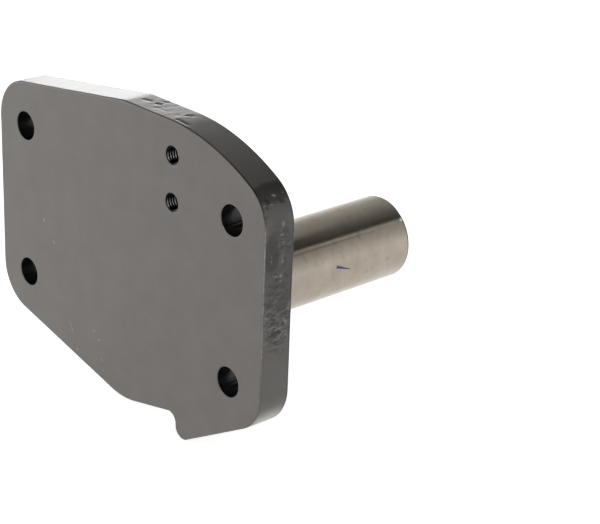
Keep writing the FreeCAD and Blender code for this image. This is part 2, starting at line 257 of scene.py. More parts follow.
# Nicks and gouges from handling: where each starts and ends, how far its sides reach, its depth.
nicks = [
    ((5, 7.4, 65.7), (9, 8.5, 65.7), 1.2, 0.3), ((11.8, 7.8, 65.7), (14.2, 9, 65.7), 1.3, 0.35),
    ((11.9, 11.3, 65.7), (14.5, 12.9, 65.7), 1.1, 0.2),
    ((32.9, 2.5, 65.7), (39.8, 2.7, 65.2), 1.1, 0.35),
    ((31.4, 8.2, 65.7), (33.4, 10.2, 65.7), 1.3, 0.3), ((16, 5, 65.7), (30, 5.6, 65.7), 1, 0.12),
    ((90, 8.8, 36.6), (90, 9.4, 36.2), 1.8, 0.45), ((90, 7.6, 31.0), (90, 10.4, 31.6), 1.3, 0.4),
    ((90, 7.6, 28.6), (90, 10.4, 29.3), 1.3, 0.4), ((90, 9.2, 21.0), (90, 9.2, 24.0), 2.0, 0.35),
    ((90, 8.2, 15.6), (90, 10.2, 16.9), 1.3, 0.5), ((90, 3.8, 15.6), (90, 7.0, 16.2), 1.2, 0.35),
    ((90, 5.2, 13.6), (90, 6.4, 12.4), 1.4, 0.4), ((90, 2.4, 13.4), (90, 3.4, 13.8), 1.2, 0.35),
    ((90, 2.6, 6.6), (90, 5.6, 8.8), 1.2, 0.45), ((90, 5.8, 4.2), (90, 9.2, 6.7), 1.2, 0.45),
    ((90, 8.0, 0.5), (90, 10.8, 2.4), 1.1, 0.4), ((90, 3.6, -0.6), (90, 5.8, 1.2), 1.1, 0.35),
    ((90, 7.4, -3.6), (90, 8.2, -3.4), 1.2, 0.45), ((90, 6.0, -5.4), (90, 6.9, -5.0), 1.3, 0.45),
    ((90, 7.8, -7.6), (90, 8.3, -6.8), 1.3, 0.45), ((90, 8.0, -10.3), (90, 8.5, -9.8), 1.2, 0.4),
    ((90, 6.4, -11.6), (90, 7, -11.2), 1.2, 0.4), ((90, 10.9, -16.3), (90, 11.3, -16.1), 1.1, 0.3),
    ((90, 0.6, 6.4), (90, 1.4, 6.8), 0.9, 0.3), ((90, 0.6, 3.6), (90, 1.4, 4.0), 0.8, 0.25),
    ((90, 0.6, 1.0), (90, 1.4, 1.4), 0.8, 0.3), ((90, 0.6, -2.0), (90, 1.4, -1.6), 0.8, 0.25),
    ((90, 0.6, -4.8), (90, 1.4, -4.4), 0.8, 0.25), ((88.6, 0.7, 42.2), (88.4, 1.8, 43.0), 1.2, 0.3),
]


def off_line(place, start, end):
    """How far a place lies from the straight line between two others."""
    run = end - start
    part = max(0, min(1, (place - start).dot(run) / run.length_squared))
    return (place - start - run * part).length


for start, end, reach, depth in nicks:
    start, end = Vector(start) * MM, Vector(end) * MM
    nearest = min(plate.data.vertices, key=lambda point: off_line(point.co, start, end))
    limit = max(off_line(nearest.co, start, end), 0.6 * cut_step * MM)
    inwards = -nearest.normal * depth * MM
    select_where(plate, "VERT", lambda point: off_line(point.co, start, end) <= limit)
    bpy.ops.transform.translate(value=inwards, use_proportional_edit=True,
                                proportional_size=reach * MM, proportional_edit_falloff="SMOOTH")
    bpy.ops.object.mode_set(mode="OBJECT")

# Bolt holes: cut with the outline, straight through. The cut starts and ends at one place on the
# wall, and leaves a fine standing seam there. The torch has burnt the walls nearly black.
bolt_radius = bolt_pattern["hole_r_mm"]
mouth_break = 0.3
mouth_land = 0.6
seam_angle = radians(221)
seam_rise = 0.2
bore_steps = 120


def draw_profile(points):
    """Draws a chain of edges through these (x, y) points from the first one, on which it starts."""
    for (x, y), (next_x, next_y) in zip(points, points[1:]):
        draw_run(next_x - x, next_y - y, 0)


def turn_round(piece, x, z, steps):
    """Turns the whole profile once round an axis that runs through the plate."""
    bpy.ops.mesh.select_all(action="SELECT")
    bpy.ops.mesh.spin(steps=steps, angle=2 * pi, center=(x * MM, 0, z * MM), axis=(0, 1, 0))
    bpy.ops.mesh.select_all(action="SELECT")
    bpy.ops.mesh.remove_doubles(threshold=MM / 200)
    bpy.ops.object.mode_set(mode="OBJECT")
    bpy.ops.object.transform_apply(location=True)


soft = mouth_break * (1 - cos(pi / 4))
half_bore = [
    (bolt_radius + mouth_break + mouth_land, 0),
    (bolt_radius + mouth_break, 0),
    (bolt_radius + soft, soft),
    (bolt_radius, mouth_break),
]
bore_profile = half_bore + [(radius, plate_thickness - depth) for radius, depth in half_bore[::-1]]
bore = start_mesh("bolt_hole", low_left.x + bore_profile[0][0], 0, low_left.y)
draw_profile(bore_profile)
turn_round(bore, low_left.x, low_left.y, bore_steps)
halve_longer_than(bore, 1, lambda edge: runs_through(bore, edge))
seam_place = on_circle(low_left, bolt_radius, seam_angle)


def is_on_seam(point):
    off_seam = hypot(point.co.x / MM - seam_place.x, point.co.z / MM - seam_place.y)
    return off_seam < pi * bolt_radius / bore_steps


select_where(bore, "VERT", is_on_seam)
seam_in = (low_left - seam_place).normalized() * seam_rise * MM
bpy.ops.transform.translate(value=(seam_in.x, 0, seam_in.y))
bpy.ops.object.mode_set(mode="OBJECT")
bores = [bore]
for place in (top_left, top_right, low_right):
    bpy.ops.object.select_all(action="DESELECT")
    bore.select_set(True)
    bpy.context.view_layer.objects.active = bore
    shift = (place - low_left) * MM
    bpy.ops.object.duplicate_move(TRANSFORM_OT_translate={"value": (shift.x, 0, shift.y)})
    bores.append(bpy.context.object)

# Tapped holes: drilled and countersunk, then cut with an M8 tap. The thread is real, so that its
# flanks catch the light one after another. A tooth is its steps outwards and along the axis.
tap_pitch = 1.25
thread_root = 4
tap_mouth_radius = 4.1
tap_cut = 0.55
tap_land = 1.2
tap_steps = 48
taps = []
tap_places = []
for name in ("upper_tapped_hole", "lower_tapped_hole"):
    mount = mounts[name]
    tap_x, tap_z = mount["pos_m"][0] / MM, mount["pos_m"][2] / MM
    thread_crest = mount["dims"]["r_mm"]
    flank = thread_root - thread_crest
    tooth = [(0, 0.25), (flank, 0.31), (0, 0.125), (-flank, 0.31)]
    tooth_length = sum(part for radial, part in tooth)
    turns = round(plate_thickness / tap_pitch) + 4
    tap = start_mesh(name + "_thread", tap_x + thread_crest, -2 * tap_pitch, tap_z)
    for radial, part in tooth * turns:
        draw_run(radial, part / tooth_length * tap_pitch, 0)
    bpy.ops.object.mode_set(mode="OBJECT")
    bpy.ops.object.transform_apply(location=True)
    bpy.context.scene.cursor.location = (tap_x * MM, 0, tap_z * MM)
    bpy.ops.object.origin_set(type="ORIGIN_CURSOR")
    screw = tap.modifiers.new("thread", "SCREW")
    screw.axis = "Y"
    screw.screw_offset = tap_pitch * MM
    screw.steps = screw.render_steps = tap_steps
    bpy.ops.object.modifier_apply(modifier=screw.name)
    bpy.ops.object.transform_apply(location=True)
    bpy.ops.object.mode_set(mode="EDIT")
    bpy.ops.mesh.select_all(action="SELECT")
    bpy.ops.mesh.remove_doubles(threshold=MM / 200)
    for level, face, outwards in ((tap_cut, 0, -1),
                                  (plate_thickness - tap_cut, plate_thickness, 1)):
        mouth_place = (tap_x * MM, face * MM, tap_z * MM)
        bpy.ops.mesh.select_all(action="SELECT")
        bpy.ops.mesh.bisect(plane_co=(0, level * MM, 0), plane_no=(0, outwards, 0),
                            clear_outer=True)
        tap.vertex_groups.new(name="cut")
        bpy.ops.object.vertex_group_assign()
        bpy.ops.mesh.primitive_circle_add(vertices=tap_steps, radius=tap_mouth_radius * MM,
                                          rotation=(pi / 2, 0, 0), location=mouth_place)
        bpy.ops.object.vertex_group_select()
        bpy.ops.mesh.bridge_edge_loops()
        bpy.ops.object.mode_set(mode="OBJECT")
        tap.vertex_groups.remove(tap.vertex_groups["cut"])
        select_where(tap, "VERT", lambda point: abs(point.co.y / MM - face) < 0.01)
        bpy.ops.mesh.extrude_edges_move()
        grow = 1 + tap_land / tap_mouth_radius
        bpy.ops.transform.resize(value=(grow, 1, grow), center_override=mouth_place)
    bpy.ops.object.mode_set(mode="OBJECT")
    taps.append(tap)
    tap_places.append(Vector((tap_x, tap_z)))


# Paint on the plate: a thin coat of satin dark grey alkyd enamel, sprayed over mill scale. It
# gives a soft sheen and a faint orange peel, and shows small rubs where the plate was handled.
cloud_size = 14
speck_size = 0.5
peel_size = 1.1
peel_depth = 0.03
ragged_size = 1.3
ragged_reach = 1.4


def from_hex(code):
    """An sRGB hex colour as the linear colour that a shader takes."""
    parts = [int(code[place:place + 2], 16) / 255 for place in (0, 2, 4)]
    return [part / 12.92 if part <= 0.04045 else ((part + 0.055) / 1.055) ** 2.4
            for part in parts] + [1]


def new_finish(name):
    """A material with no nodes yet."""
    finish = bpy.data.materials.new(name)
    finish.use_nodes = True
    finish.node_tree.nodes.clear()
    return finish


def add_node(finish, kind, *values, **named):
    """Adds a node. Plain values go into its live sockets in order. A name in small letters is a
    setting, and any other is a socket. A node that is given as a value stands for its output."""
    node = finish.node_tree.nodes.new("ShaderNode" + kind)
    for name, value in named.items():
        if name.islower():
            setattr(node, name, value)
    sockets = list(zip([socket for socket in node.inputs if socket.enabled], values))
    for name, value in named.items():
        if not name.islower():
            sockets.append((node.inputs[name.replace("_", " ")], value))
    for socket, value in sockets:
        if isinstance(value, bpy.types.Node):
            value = next(output for output in value.outputs if output.enabled)
        if isinstance(value, bpy.types.NodeSocket):
            finish.node_tree.links.new(value, socket)
        else:
            socket.default_value = value
    return node


def paint_finish(name):
    """The enamel. Returns the material, its object coordinates, its colour and its shader."""
    paint = new_finish(name)
    place = add_node(paint, "TexCoord").outputs["Object"]
    cloud = add_node(paint, "TexNoise", place, 1 / (cloud_size * MM), 4.0, 0.6)
    speck = add_node(paint, "TexNoise", place, 1 / (speck_size * MM), 2.0)
    tone = add_node(paint, "Math", cloud, 0.7, operation="MULTIPLY")
    tone = add_node(paint, "Math", speck, 0.3, tone, operation="MULTIPLY_ADD")
    tone = add_node(paint, "Math", tone, 3.0, -1.0, operation="MULTIPLY_ADD", use_clamp=True)
    colour = add_node(paint, "Mix", tone, from_hex("615D59"), from_hex("6A6662"),
                      data_type="RGBA")
    peel = add_node(paint, "TexNoise", place, 1 / (peel_size * MM), 2.0)
    bump = add_node(paint, "Bump", Strength=0.35, Distance=peel_depth * MM, Height=peel)
    shader = add_node(paint, "BsdfPrincipled", Base_Color=colour, Roughness=0.35, IOR=1.5,
                      Normal=bump)
    add_node(paint, "OutputMaterial", Surface=shader)
    return paint, place, colour, shader


def patch_mask(finish, place, start, end, width, soft):
    """1 on a rounded streak from one point to another, fading to 0 at this half width."""
    start, end = Vector(start), Vector(end)
    run = end - start
    turn = run.to_track_quat("X", "Z").to_euler()
    size = Vector((run.length / 2 + width, width, width))
    local = add_node(finish, "Mapping", place, (start + end) / 2 * MM, turn, size * MM,
                     vector_type="TEXTURE")
    far = add_node(finish, "VectorMath", local, operation="LENGTH")
    return add_node(finish, "MapRange", far, 1 - soft, 1.0, 1.0, 0.0,
                    interpolation_type="SMOOTHSTEP")


def all_patches(finish, place, patches, soft):
    """The largest of many streaks, whose outlines a fine noise makes uneven."""
    ragged = add_node(finish, "TexNoise", place, 1 / (ragged_size * MM), 3.0).outputs["Color"]
    ragged = add_node(finish, "VectorMath", ragged, (0.5, 0.5, 0.5), operation="SUBTRACT")
    uneven = add_node(finish, "VectorMath", ragged, [ragged_reach * MM] * 3, place,
                      operation="MULTIPLY_ADD")
    total = 0.0
    for patch in patches:
        mask = patch_mask(finish, uneven, *patch, soft)
        total = add_node(finish, "Math", total, mask, operation="MAXIMUM")
    return total


enamel, enamel_place, coat, enamel_shader = paint_finish("plate_enamel")
across, through, height = add_node(enamel, "SeparateXYZ", enamel_place).outputs

# Where the torch ran hot, slanting drag lines are painted on the rim: painted shade in the lines,
# and painted highlights on the crests between. These marks and the next ones are on the cut rim
# alone.
on_rim = add_node(enamel, "MapRange", through, 0.15 * MM, 0.6 * MM)
hot_coat = all_patches(enamel, enamel_place,
                       [((90, 7.5, -12), (90, 7.5, 14), 10), ((90, 8, 26), (90, 8, 33), 8)], 0.6)
drag_grain = (2.5, 4.2, 1.6)
drag_slant = radians(-24)
drag = add_node(enamel, "Mapping", enamel_place, (0, 0, 0), (drag_slant, 0, 0),
                [1 / (size * MM) for size in drag_grain])
drag = add_node(enamel, "TexNoise", drag, 1.0, 4.0, 0.65, Distortion=0.8)
drag_shade = add_node(enamel, "Math", drag, -12.0, 6.3, operation="MULTIPLY_ADD", use_clamp=True)
drag_shade = add_node(enamel, "Math", hot_coat, drag_shade, operation="MULTIPLY")
drag_highlight = add_node(enamel, "Math", drag, 12.0, -6.7, operation="MULTIPLY_ADD", use_clamp=True)
drag_highlight = add_node(enamel, "Math", hot_coat, drag_highlight, operation="MULTIPLY")
# Painted shade darkens the straight side and its front part, the flat top, and the end of the
# crown.
# The low corner is painted pale: a painted reflection of the white table below it.
side_shade = all_patches(enamel, enamel_place, [((90, 7.5, 6), (90, 7.5, 34), 11)], 0.4)
top_shade = all_patches(enamel, enamel_place, [((9, 9.5, 65.7), (29, 10.5, 65.7), 5.5)], 0.8)
side_front_shade = all_patches(enamel, enamel_place, [((90, 3.6, 31.6), (90, 3.6, 21.5), 4.6)], 0.35)
crown_end_shade = all_patches(enamel, enamel_place, [((84.2, 0, 49.2), (83.6, 15, 49.8), 5.6)], 0.4)
corner_table_reflection = all_patches(enamel, enamel_place, [((87.5, -1, -49.5), (87.5, 16, -49.5), 10)], 1.0)
for mark, strength, colour in ((drag_shade, 0.95, "282522"), (drag_highlight, 0.7, "9C9790"),
                               (side_shade, 0.72, "403D3A"), (top_shade, 0.62, "403D3A"),
                               (side_front_shade, 0.8, "282523"), (crown_end_shade, 0.6, "1E1C1B"),
                               (corner_table_reflection, 1.0, "C4BFB8")):
    mark = add_node(enamel, "Math", mark, on_rim, operation="MULTIPLY")
    mark = add_node(enamel, "Math", mark, strength, operation="MULTIPLY")
    coat = add_node(enamel, "Mix", mark, coat, from_hex(colour), data_type="RGBA")

# Rubs and scratches in the paint's skin, and painted highlights on the dents of the side, which are
# partly rubs too. Painted glints on two deeper knocks, and painted shade in the pits of the cut.
# Each runs from one point to another, in mm, and its last number is how far it spreads to each
# side.
rub_and_highlight_streaks = [
    ((-57.9, 0, -5.4), (-56.7, 0, -6.0), 0.7), ((-50.6, 0, -13.5), (-49.2, 0, -14.1), 0.7),
    ((-39.3, 0, -47.1), (-35.6, 0, -54.6), 0.5), ((-21.2, 0, -46.1), (-19.8, 0, -46.7), 0.6),
    ((-17.4, 0, -49.1), (-16.2, 0, -49.7), 0.6), ((-34.2, 0, -60.0), (-32.6, 0, -60.6), 0.5),
    ((-15.4, 0, -58.0), (-14.0, 0, -58.8), 0.6), ((-14.6, 0, -62.8), (-13.4, 0, -63.2), 0.5),
    ((90, 9.2, 37.0), (90, 8.6, 39.4), 1.1), ((90, 8.0, 31.0), (90, 10.4, 31.6), 0.7),
    ((90, 7.8, 28.8), (90, 10.4, 29.3), 0.6), ((90, 9.4, 21.6), (90, 9.2, 24.0), 1.0),
    ((90, 4.4, 15.9), (90, 7.4, 16.3), 0.6),
    ((90, 8.0, 14.1), (90, 9.6, 14.6), 0.6), ((90, 3.4, 22.0), (90, 3.6, 27.0), 0.35),
    ((90, 3.0, 7.0), (90, 5.8, 9.0), 0.5), ((90, 6.0, 4.7), (90, 9.4, 6.9), 0.5),
    ((90, 8.0, 0.8), (90, 10.8, 2.6), 0.45), ((86.8, 4.2, 45.9), (87.0, 6.6, 45.5), 0.5),
    ((86.8, 1.3, 45.9), (86.9, 1.9, 45.8), 0.7), ((84.8, 12.6, 48.4), (84.9, 13.0, 48.3), 0.5),
    ((89.7, 9.2, 38.4), (90, 9.2, 36.4), 1.2), ((90, 7.6, 33.8), (90, 9.4, 33.3), 0.7),
    ((90, 8.0, 30.8), (90, 10.2, 30.2), 0.7), ((90, 9.2, 23.2), (90, 9.3, 21.6), 1.1),
    ((64.6, 0, 31.2), (66.2, 0, 29.5), 0.45), ((90, 3.8, 17.2), (90, 7.6, 16.5), 0.45),
]
# Painted glints: bright spots painted on two deeper knocks, as painted highlights.
glint_streaks = [((84.7, 7.2, 48.6), (85.0, 8.7, 48.2), 0.65), ((90, 8.5, 16.3), (90, 9.8, 16.2), 1.0)]
# Painted shade: dark streaks painted in the pits and nicks of the cut.
pit_shade_streaks = [
    ((85.2, 2.4, 47.9), (86.6, 4.6, 46.2), 1.3), ((86.5, 9.6, 46.2), (86.9, 11.6, 45.6), 1.3),
    ((87.2, 2.2, 45.2), (87.5, 2.8, 44.6), 0.8), ((90, 11.6, 15.8), (90, 12.2, 15.4), 0.8),
    ((90, 4.4, 6.2), (90, 6.6, 8.4), 0.55), ((90, 7.0, 4.6), (90, 9.6, 6.6), 0.55),
    ((90, 3.4, 1.8), (90, 5.0, 0.4), 0.8), ((90, 8.6, -1.0), (90, 10.8, 0.8), 0.7),
    ((90, 8.0, 36.8), (90, 8.2, 36.4), 1.0), ((90, 9.2, 35.0), (90, 9.6, 34.8), 1.0),
    ((90, 11.0, 34.5), (90, 11.2, 34.3), 0.9), ((90, 5.9, 17.8), (90, 5.9, 17.4), 1.0),
    ((90, 4.9, 16.1), (90, 4.9, 15.8), 0.9), ((90, 6.8, 15.3), (90, 6.8, 15.0), 0.9),
    ((90, 3.0, 13.8), (90, 3.0, 13.5), 0.9), ((90, 6.4, 12.5), (90, 6.4, 12.1), 0.9),
    ((90, 7.9, -3.4), (90, 7.9, -3.7), 1.0), ((90, 6.4, -5.1), (90, 6.4, -5.4), 1.0),
    ((90, 8.0, -6.9), (90, 8.0, -7.2), 1.0), ((90, 8.2, -10.0), (90, 8.2, -10.3), 0.9),
    ((90, 6.7, -11.3), (90, 6.7, -11.6), 0.9), ((90, 11.1, -16.1), (90, 11.1, -16.4), 0.7),
    ((5.2, 7.4, 65.7), (8.6, 8.4, 65.7), 1.3), ((12.0, 7.9, 65.7), (14.0, 8.9, 65.7), 1.0),
    ((33.2, 2.5, 65.7), (39.4, 2.7, 65.2), 1.2), ((31.4, 8.2, 65.7), (33.4, 10.0, 65.7), 1.2),
]
rubs_and_highlights = all_patches(enamel, enamel_place, rub_and_highlight_streaks, 0.9)
painted_glints = all_patches(enamel, enamel_place, glint_streaks, 1.0)
# A painted highlight on the dent of the lower knock.
dent_highlight = patch_mask(enamel, enamel_place, (90, 8.5, 16.3), (90, 9.3, 16.1), 1.1, 1.0)
dent_highlight = add_node(enamel, "Math", dent_highlight, 0.7, operation="MULTIPLY")
painted_glints = add_node(enamel, "Math", painted_glints, dent_highlight, operation="MAXIMUM")
pit_shade = all_patches(enamel, enamel_place, pit_shade_streaks, 0.8)

# The coat has worn to bare steel on the sharp front edge of the straight side, and a painted
# highlight brightens that edge with it. Painted shade darkens the front edge along the top, and the
# back edge.
# Each line runs only between the places, in mm, where it is off and where it is full.
wear_and_highlight_size = 2.2
wear_and_edge_highlight = add_node(enamel, "TexNoise", enamel_place, 1 / (wear_and_highlight_size * MM), 3.0)
wear_and_edge_highlight = add_node(enamel, "Math", wear_and_edge_highlight, 2.5, -0.6, operation="MULTIPLY_ADD", use_clamp=True)
for along, off, full in ((through, 0.5, 0.15), (across, 89.2, 89.5), (height, -28, -14)):
    wear_and_edge_highlight = add_node(enamel, "MapRange", along, off * MM, full * MM, 0.0, wear_and_edge_highlight)
# Painted shade: a dark line along the front edge of the top, and another along the back edge.
front_edge_shade = 0.85
for along, off, full in ((through, 0.08, 0.25), (through, 0.85, 0.6), (height, 36, 46)):
    front_edge_shade = add_node(enamel, "MapRange", along, off * MM, full * MM, 0.0, front_edge_shade)
back_edge_shade = 0.6
for along, off, full in ((through, 13.7, 14.2), (through, 14.9, 14.7), (across, 34, 50)):
    back_edge_shade = add_node(enamel, "MapRange", along, off * MM, full * MM, 0.0, back_edge_shade)
edge_shade = add_node(enamel, "Math", front_edge_shade, back_edge_shade, operation="MAXIMUM")
for mark, strength, colour in ((rubs_and_highlights, 0.6, "A8A39C"), (painted_glints, 1.0, "CFCBC5"),
                               (pit_shade, 0.85, "24211F"), (wear_and_edge_highlight, 1.0, "9D9994"),
                               (edge_shade, 1.0, "26231F")):
    mark = add_node(enamel, "Math", mark, strength, operation="MULTIPLY")
    coat = add_node(enamel, "Mix", mark, coat, from_hex(colour), data_type="RGBA")
enamel.node_tree.links.new(coat.outputs["Result"], enamel_shader.inputs["Base Color"])

# Burnt wall of a flame cut: thin iron oxide scale, nearly black, dull and slightly rough.
burnt = new_finish("flame_cut_scale")
scale_grain = 0.8
scale_depth = 0.05
place = add_node(burnt, "TexCoord").outputs["Object"]
grain = add_node(burnt, "TexNoise", place, 1 / (scale_grain * MM), 3.0)
colour = add_node(burnt, "Mix", grain, from_hex("0C0B0A"), from_hex("1B1917"), data_type="RGBA")
bump = add_node(burnt, "Bump", Strength=0.4, Distance=scale_depth * MM, Height=grain)
shader = add_node(burnt, "BsdfPrincipled", Base_Color=colour, IOR=1.5, Roughness=0.22, Normal=bump)
add_node(burnt, "OutputMaterial", Surface=shader)

# Cut thread: clean steel, painted nearly black all over as painted shade. A painted highlight
# lights its crests on the low side of each hole. The highlight's four heights, in mm, are over the
# hole's axis.
shaded_thread = new_finish("oiled_cut_thread")
crest_depth = 0.2
highlight_top, highlight_full, highlight_fade, highlight_end = 0.8, -1.4, -2.2, -2.9
upper_tap, lower_tap = tap_places
place = add_node(shaded_thread, "TexCoord").outputs["Object"]
flat_place = add_node(shaded_thread, "VectorMath", place, (1, 0, 1), operation="MULTIPLY")
off_axes = [add_node(shaded_thread, "VectorMath", flat_place, (tap.x * MM, 0, tap.y * MM),
                     operation="DISTANCE") for tap in tap_places]
off_axis = add_node(shaded_thread, "Math", *off_axes, operation="MINIMUM")
crest = add_node(shaded_thread, "MapRange", off_axis, (thread_crest + crest_depth) * MM,
                 (thread_crest + crest_depth / 10) * MM)
height = add_node(shaded_thread, "SeparateXYZ", place).outputs["Z"]
is_upper = add_node(shaded_thread, "Math", height, (upper_tap.y + lower_tap.y) / 2 * MM,
                    operation="GREATER_THAN")
axis_height = add_node(shaded_thread, "Math", is_upper, (upper_tap.y - lower_tap.y) * MM,
                       lower_tap.y * MM, operation="MULTIPLY_ADD")
off_height = add_node(shaded_thread, "Math", height, axis_height, operation="SUBTRACT")
crest_highlight = add_node(shaded_thread, "MapRange", off_height, highlight_top * MM, highlight_full * MM, 0.0, crest)
crest_highlight = add_node(shaded_thread, "MapRange", off_height, highlight_end * MM, highlight_fade * MM, 0.0, crest_highlight)
colour = add_node(shaded_thread, "Mix", crest_highlight, from_hex("151414"), from_hex("B4B2B0"), data_type="RGBA")
shader = add_node(shaded_thread, "BsdfPrincipled", Base_Color=colour, Metallic=1.0, Roughness=0.28)
add_node(shaded_thread, "OutputMaterial", Surface=shader)
for pieces, finish in (([plate], enamel), (bores, burnt), (taps, shaded_thread)):
    for piece in pieces:
        piece.data.materials.append(finish)

# The holes are let into the plate, and both its faces are closed round them.
bpy.ops.object.select_all(action="DESELECT")
for piece in [plate] + bores + taps:
    piece.select_set(True)
bpy.context.view_layer.objects.active = plate
bpy.ops.object.join()
for level in (0, plate_thickness):
    bpy.ops.object.mode_set(mode="EDIT")
    bpy.ops.mesh.select_mode(type="EDGE")
    bpy.ops.mesh.select_all(action="DESELECT")
    bpy.ops.mesh.select_non_manifold(extend=False, use_wire=True, use_boundary=True,
                                     use_multi_face=False, use_non_contiguous=False,
                                     use_verts=False)
    bpy.ops.object.mode_set(mode="OBJECT")
    for edge in plate.data.edges:
        if edge.select and any(abs(end.y / MM - level) > 0.01 for end in ends_of(plate, edge)):
            edge.select = False
    bpy.ops.object.mode_set(mode="EDIT")
    bpy.ops.mesh.fill(use_beauty=True)


def closes_a_tap(face):
    """Whether a new face spans the mouth of a tapped hole, with all its corners on one ring."""
    corners = [plate.data.vertices[number].co.xz / MM for number in face.vertices]
    ring = tap_mouth_radius + tap_land
    return any(all(abs((corner - tap_place).length - ring) < 0.01 for corner in corners)
               for tap_place in tap_places)


select_where(plate, "FACE", closes_a_tap)
bpy.ops.mesh.delete(type="FACE")
bpy.ops.mesh.select_all(action="SELECT")
bpy.ops.mesh.normals_make_consistent(inside=False)
bpy.ops.object.mode_set(mode="OBJECT")

# The paint covers both faces and runs over the bolt holes' broken edges.
for face in plate.data.polygons:
    depth = min(face.center.y / MM, plate_thickness - face.center.y / MM)
    in_bolt_mouth = depth < mouth_break * 0.7 and face.material_index < 2
    if in_bolt_mouth or face.normal.y ** 2 > 0.999:
        face.material_index = 0
bpy.ops.object.shade_smooth_by_angle(angle=radians(40))
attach(plate, "root")
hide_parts("flange_plate")

# Weld run: one fillet run by hand all round the pin, laid puddle by puddle, so that each ripple
# overlaps the last. The hand wandered a little. It was painted together with the plate.
weld_low, weld_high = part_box("weld_bead")
weld_reach = weld_high.x / MM
weld_leg = (weld_high.y - weld_low.y) / MM
puddle_radius = 5.1
puddle_pitch = 2.5
puddle_thickness = 2.1
puddle_tip = 0.3
run_radius = weld_reach - puddle_radius
run_middle = 23.5
melt_grain = 0.4
weld_clearance = 0.02
puddles = round(2 * pi * run_middle / puddle_pitch)
ripples = []
for number in range(puddles):
    turn = 2 * pi * (number + 0.12 * sin(4.1 * number)) / puddles
    wander = 0.12 * (1 + sin(2.3 * number)) + 0.1 * (1 + sin(0.7 * number))
    at = on_circle(keel_centre, run_radius - wander, turn)
    depth = plate_thickness + weld_leg - puddle_radius - wander / 2
    tip = puddle_tip + 0.06 * sin(1.9 * number)
    facing = Vector((-sin(turn), tip, cos(turn))).to_track_quat("Z", "Y").to_euler()
    bpy.ops.mesh.primitive_uv_sphere_add(
        segments=24, ring_count=12, radius=puddle_radius * MM, rotation=facing,
        location=(at.x * MM, depth * MM, at.y * MM),
        scale=(1, 1, puddle_thickness / puddle_radius))
    ripples.append(bpy.context.object)
for ripple in ripples:
    ripple.select_set(True)
bpy.ops.object.join()
weld = bpy.context.object
weld.name = weld.data.name = "weld_run"
bpy.ops.object.transform_apply(location=True, rotation=True, scale=True)
remesh = weld.modifiers.new("one_skin", "REMESH")
remesh.mode = "VOXEL"
remesh.voxel_size = melt_grain * MM
bpy.ops.object.modifier_apply(modifier=remesh.name)
smooth = weld.modifiers.new("melted", "SMOOTH")
smooth.iterations = 2
bpy.ops.object.modifier_apply(modifier=smooth.name)
bpy.ops.object.mode_set(mode="EDIT")
bpy.ops.mesh.select_all(action="SELECT")
bpy.ops.mesh.bisect(plane_co=(0, (plate_thickness + weld_clearance) * MM, 0),
                    plane_no=(0, -1, 0), clear_outer=True, use_fill=True)
bpy.ops.object.mode_set(mode="OBJECT")
bpy.ops.object.shade_smooth()
weld.data.materials.append(paint_finish("weld_enamel")[0])
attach(weld, "root")
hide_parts("weld_bead")

# Pin: round bar of medium carbon steel, turned and then ground to size, with a chamfered end. It
# is left bare where the bearing runs, and a fitter has ticked it with a pen.
pin_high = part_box("bearing_pin")[1]
pin_radius = pin_high.x / MM
pin_end = pin_high.y / MM
end_chamfer = 1.5
chamfer_ease = 0.3
wall_ease = 0.45
root_bevel = 6
pin_steps = 192
pin_profile = [
    (0, pin_end),
    (pin_radius - end_chamfer - chamfer_ease / 2, pin_end),
    (pin_radius - end_chamfer + chamfer_ease / 3, pin_end - chamfer_ease / 3),
    (pin_radius - chamfer_ease, pin_end - end_chamfer + chamfer_ease),
    (pin_radius, pin_end - end_chamfer - wall_ease),
    (pin_radius, pin_end - end_chamfer - wall_ease - chamfer_ease),
    (pin_radius, plate_thickness + weld_leg),
    (pin_radius - root_bevel, plate_thickness),
    (0, plate_thickness),
]
pin = start_mesh("ground_pin", 0, pin_end, pin_height)
draw_profile(pin_profile)
turn_round(pin, 0, pin_height, pin_steps)
bpy.ops.object.mode_set(mode="EDIT")
bpy.ops.mesh.select_all(action="SELECT")
bpy.ops.mesh.normals_make_consistent(inside=False)
bpy.ops.object.mode_set(mode="OBJECT")
halve_longer_than(pin, 4, lambda edge: runs_through(pin, edge))
bpy.ops.object.shade_smooth_by_angle(angle=radians(30))

# Ground steel: fine rings round the bar, crossed by the faint chatter of the wheel. The real
# rings are finer, and are drawn this coarse so that they show.
steel = new_finish("ground_steel")
ring_pitch = 0.35
ring_reach = 50 / 3
shade_size = 9
stain_size = 4
place = add_node(steel, "TexCoord").outputs["Object"]
across, along = add_node(steel, "SeparateXYZ", place).outputs[:2]
rings = add_node(steel, "Mapping", place,
                 Scale=[1 / (size * MM) for size in (ring_reach, ring_pitch, ring_reach)])
rings = add_node(steel, "TexNoise", rings, 1.0, 3.0)
shade = add_node(steel, "TexNoise", place, 1 / (shade_size * MM), 4.0)
tone = add_node(steel, "Math", shade, 0.8, operation="MULTIPLY")
tone = add_node(steel, "Math", rings, 0.2, tone, operation="MULTIPLY_ADD")
tone = add_node(steel, "Math", tone, 2.5, -0.75, operation="MULTIPLY_ADD", use_clamp=True)
bare = add_node(steel, "Mix", tone, from_hex("A59C8F"), from_hex("B3AA9D"), data_type="RGBA")
stain = add_node(steel, "TexNoise", place, 1 / (stain_size * MM), 5.0, 0.65)
stain = add_node(steel, "Math", stain, 3.5, -1.9, operation="MULTIPLY_ADD", use_clamp=True)
bare = add_node(steel, "Mix", stain, bare, from_hex("9A897B"), data_type="RGBA")

# A small bright spot painted near the free end's edge: a painted highlight.
end_highlight_height = pin_height + 13.5
end_highlight = patch_mask(steel, place, (14.7, 154.5, end_highlight_height), (14.7, 155.0, end_highlight_height), 1.15, 0.45)
bare = add_node(steel, "Mix", end_highlight, bare, from_hex("FFFFFF"), data_type="RGBA")

